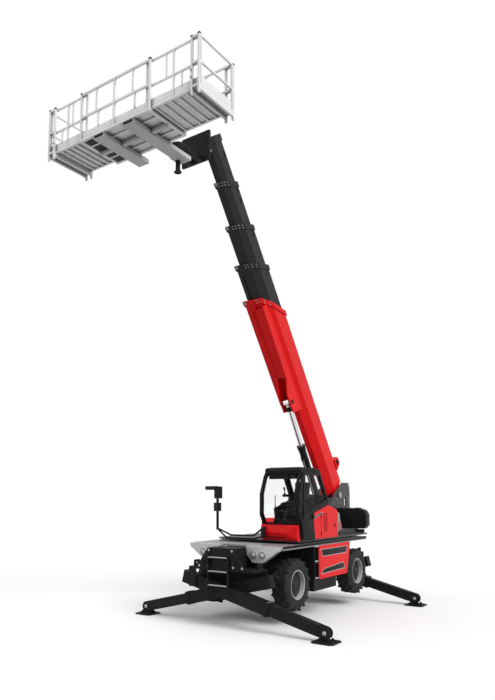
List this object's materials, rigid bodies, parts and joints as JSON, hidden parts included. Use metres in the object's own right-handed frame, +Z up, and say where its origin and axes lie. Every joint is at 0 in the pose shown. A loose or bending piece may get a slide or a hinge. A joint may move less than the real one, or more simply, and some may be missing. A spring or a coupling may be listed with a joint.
{
  "type": "rotating telehandler",
  "caption": "Rotating telehandler on splayed outriggers, with a turret and cab on a wheeled chassis and a telescopic boom that carries an extendable work platform.",
  "frame": {"origin": "on the ground, in the middle of the whole machine's box as seen from above", "axes": "+X the way the chassis faces, +Y the machine's left, +Z up"},
  "size_m": [9.302, 5.22, 11.0359],
  "materials": {
    "red_paint": "gloss",
    "dark_paint": "satin",
    "grey_paint": "satin",
    "pale_paint": "satin",
    "white_paint": "satin",
    "tyre": "matte",
    "glass": "clear",
    "seat": "matte",
    "chrome": "polished",
    "plastic": "matte"
  },
  "bodies": {
    "chassis": {"chassis_frame": "dark_paint", "deck": "grey_paint", "side_cover_left": "red_paint", "side_tank_right": "dark_paint", "steps_left": "dark_paint", "lamp_left": "pale_paint", "lamp_right": "pale_paint", "ladder": "dark_paint", "front_axle": "dark_paint", "rear_axle": "dark_paint"},
    "turret": {"turret_frame": "grey_paint", "counterweight": "dark_paint", "cab_shell": "dark_paint", "cab_glass": "glass", "cab_seat": "seat", "cab_console": "plastic", "nose": "red_paint", "rear_cover": "red_paint", "engine_cover": "red_paint", "engine_block": "dark_paint", "mirror_arm": "plastic"},
    "door": {"cab_door": "dark_paint", "door_glass": "glass"},
    "boom_1": {"boom_base": "red_paint"},
    "boom_2": {"boom_section_2": "grey_paint"},
    "boom_3": {"boom_section_3": "grey_paint"},
    "boom_4": {"boom_section_4": "grey_paint"},
    "boom_5": {"boom_section_5": "grey_paint"},
    "lift_barrel": {"lift_barrel": "dark_paint"},
    "lift_rod": {"lift_rod": "chrome"},
    "carriage": {"carriage": "dark_paint"},
    "platform": {"fork_pockets": "white_paint", "platform_centre": "white_paint"},
    "wing_left": {"platform_wing_left": "white_paint"},
    "wing_right": {"platform_wing_right": "white_paint"},
    "knuckle_fl": {"knuckle_fl": "grey_paint"},
    "wheel_fl": {"rim_fl": "pale_paint", "tyre_fl": "tyre"},
    "knuckle_fr": {"knuckle_fr": "grey_paint"},
    "wheel_fr": {"rim_fr": "pale_paint", "tyre_fr": "tyre"},
    "knuckle_rl": {"knuckle_rl": "grey_paint"},
    "wheel_rl": {"rim_rl": "pale_paint", "tyre_rl": "tyre"},
    "knuckle_rr": {"knuckle_rr": "grey_paint"},
    "wheel_rr": {"rim_rr": "pale_paint", "tyre_rr": "tyre"},
    "sleeve_fl": {"leg_sleeve_fl": "dark_paint"},
    "leg_fl": {"leg_fl": "grey_paint"},
    "foot_fl": {"foot_fl": "grey_paint"},
    "sleeve_fr": {"leg_sleeve_fr": "dark_paint"},
    "leg_fr": {"leg_fr": "grey_paint"},
    "foot_fr": {"foot_fr": "grey_paint"},
    "sleeve_rl": {"leg_sleeve_rl": "dark_paint"},
    "leg_rl": {"leg_rl": "grey_paint"},
    "foot_rl": {"foot_rl": "grey_paint"},
    "sleeve_rr": {"leg_sleeve_rr": "dark_paint"},
    "leg_rr": {"leg_rr": "grey_paint"},
    "foot_rr": {"foot_rr": "grey_paint"}
  },
  "joints": [
    {"name": "steer_fl", "type": "hinge", "parent": "chassis", "child": "knuckle_fl", "pos_m": [0.34901, 0.76, 0.845], "axis": [0, 0, 1], "range_deg": [-25, 25]},
    {"name": "wheel_fl_spin", "type": "hinge", "parent": "knuckle_fl", "child": "wheel_fl", "pos_m": [0.34901, 1, 0.845], "axis": [0, 1, 0], "continuous": true},
    {"name": "steer_fr", "type": "hinge", "parent": "chassis", "child": "knuckle_fr", "pos_m": [0.34901, -0.76, 0.845], "axis": [0, 0, 1], "range_deg": [-25, 25]},
    {"name": "wheel_fr_spin", "type": "hinge", "parent": "knuckle_fr", "child": "wheel_fr", "pos_m": [0.34901, -1, 0.845], "axis": [0, 1, 0], "continuous": true},
    {"name": "steer_rl", "type": "hinge", "parent": "chassis", "child": "knuckle_rl", "pos_m": [-2.77599, 0.76, 0.845], "axis": [0, 0, 1], "range_deg": [-25, 25]},
    {"name": "wheel_rl_spin", "type": "hinge", "parent": "knuckle_rl", "child": "wheel_rl", "pos_m": [-2.77599, 1, 0.845], "axis": [0, 1, 0], "continuous": true},
    {"name": "steer_rr", "type": "hinge", "parent": "chassis", "child": "knuckle_rr", "pos_m": [-2.77599, -0.76, 0.845], "axis": [0, 0, 1], "range_deg": [-25, 25]},
    {"name": "wheel_rr_spin", "type": "hinge", "parent": "knuckle_rr", "child": "wheel_rr", "pos_m": [-2.77599, -1, 0.845], "axis": [0, 1, 0], "continuous": true},
    {"name": "leg_fl_swing", "type": "hinge", "parent": "chassis", "child": "sleeve_fl", "pos_m": [1.44101, -0.76, 0.93], "axis": [-1, 0, 0], "range_deg": [-14, 0]},
    {"name": "leg_fl_slide", "type": "slide", "parent": "sleeve_fl", "child": "leg_fl", "axis": [0, 0.9722, -0.2341], "range_m": [-1, 0]},
    {"name": "foot_fl_tilt", "type": "hinge", "parent": "leg_fl", "child": "foot_fl", "pos_m": [1.44101, 2.375, 0.175], "axis": [-1, 0, 0], "range_deg": [0, 14]},
    {"name": "leg_fr_swing", "type": "hinge", "parent": "chassis", "child": "sleeve_fr", "pos_m": [1.21101, 0.76, 0.93], "axis": [1, 0, 0], "range_deg": [-14, 0]},
    {"name": "leg_fr_slide", "type": "slide", "parent": "sleeve_fr", "child": "leg_fr", "axis": [0, -0.9722, -0.2341], "range_m": [-1, 0]},
    {"name": "foot_fr_tilt", "type": "hinge", "parent": "leg_fr", "child": "foot_fr", "pos_m": [1.21101, -2.375, 0.175], "axis": [1, 0, 0], "range_deg": [0, 14]},
    {"name": "leg_rl_swing", "type": "hinge", "parent": "chassis", "child": "sleeve_rl", "pos_m": [-3.58599, -0.76, 0.93], "axis": [-1, 0, 0], "range_deg": [-14, 0]},
    {"name": "leg_rl_slide", "type": "slide", "parent": "sleeve_rl", "child": "leg_rl", "axis": [0, 0.9722, -0.2341], "range_m": [-1, 0]},
    {"name": "foot_rl_tilt", "type": "hinge", "parent": "leg_rl", "child": "foot_rl", "pos_m": [-3.58599, 2.375, 0.175], "axis": [-1, 0, 0], "range_deg": [0, 14]},
    {"name": "leg_rr_swing", "type": "hinge", "parent": "chassis", "child": "sleeve_rr", "pos_m": [-3.81599, 0.76, 0.93], "axis": [1, 0, 0], "range_deg": [-14, 0]},
    {"name": "leg_rr_slide", "type": "slide", "parent": "sleeve_rr", "child": "leg_rr", "axis": [0, -0.9722, -0.2341], "range_m": [-1, 0]},
    {"name": "foot_rr_tilt", "type": "hinge", "parent": "leg_rr", "child": "foot_rr", "pos_m": [-3.81599, -2.375, 0.175], "axis": [1, 0, 0], "range_deg": [0, 14]},
    {"name": "turret_slew", "type": "hinge", "parent": "chassis", "child": "turret", "pos_m": [-1.25099, 0, 1.705], "axis": [0, 0, 1], "continuous": true},
    {"name": "cab_door_hinge", "type": "hinge", "parent": "turret", "child": "door", "pos_m": [0.34901, 1.204, 2.385], "axis": [0, 0, -1], "range_deg": [0, 85]},
    {"name": "boom_lift", "type": "hinge", "parent": "turret", "child": "boom_1", "pos_m": [-3.80099, -0.065, 2.76], "axis": [0, -1, 0], "range_deg": [-55.4, 25.6]},
    {"name": "lift_barrel_swing", "type": "hinge", "parent": "turret", "child": "lift_barrel", "pos_m": [-3.40099, -0.065, 2.12], "axis": [0, -1, 0], "range_deg": [-58, 27]},
    {"name": "lift_rod_slide", "type": "slide", "parent": "lift_barrel", "child": "lift_rod", "axis": [0.5365, 0, 0.8439], "range_m": [-1, 0.5]},
    {"name": "telescope_2", "type": "slide", "parent": "boom_1", "child": "boom_2", "axis": [0.5821, 0, 0.8131], "range_m": [-0.79, 3.3]},
    {"name": "telescope_3", "type": "slide", "parent": "boom_2", "child": "boom_3", "axis": [0.5821, 0, 0.8131], "range_m": [-0.79, 3.3]},
    {"name": "telescope_4", "type": "slide", "parent": "boom_3", "child": "boom_4", "axis": [0.5821, 0, 0.8131], "range_m": [-0.79, 3.3]},
    {"name": "telescope_5", "type": "slide", "parent": "boom_4", "child": "boom_5", "axis": [0.5821, 0, 0.8131], "range_m": [-0.79, 3.3]},
    {"name": "carriage_level", "type": "hinge", "parent": "boom_5", "child": "carriage", "pos_m": [2.07499, -0.065, 10.46932], "axis": [0, -1, 0], "range_deg": [-25.6, 55.4]},
    {"name": "platform_turn", "type": "hinge", "parent": "carriage", "child": "platform", "pos_m": [3.03499, -0.065, 9.95732], "axis": [0, 0, 1], "range_deg": [-90, 90]},
    {"name": "wing_left_slide", "type": "slide", "parent": "platform", "child": "wing_left", "axis": [0, 1, 0], "range_m": [-0.85, 0]},
    {"name": "wing_right_slide", "type": "slide", "parent": "platform", "child": "wing_right", "axis": [0, -1, 0], "range_m": [-0.75, 0]}
  ],
  "couplings": [
    {"joint": "steer_fr", "follows": "steer_fl", "ratio": 1},
    {"joint": "steer_rr", "follows": "steer_rl", "ratio": 1},
    {"joint": "foot_fl_tilt", "follows": "leg_fl_swing", "ratio": -1},
    {"joint": "foot_fr_tilt", "follows": "leg_fr_swing", "ratio": -1},
    {"joint": "foot_rl_tilt", "follows": "leg_rl_swing", "ratio": -1},
    {"joint": "foot_rr_tilt", "follows": "leg_rr_swing", "ratio": -1},
    {"joint": "lift_barrel_swing", "follows": "boom_lift", "ratio": 0.96},
    {"joint": "lift_rod_slide", "follows": "boom_lift", "m_per_rad": 0.7},
    {"joint": "carriage_level", "follows": "boom_lift", "ratio": -1},
    {"joint": "telescope_3", "follows": "telescope_2", "ratio": 1},
    {"joint": "telescope_4", "follows": "telescope_2", "ratio": 1},
    {"joint": "telescope_5", "follows": "telescope_2", "ratio": 1}
  ]
}
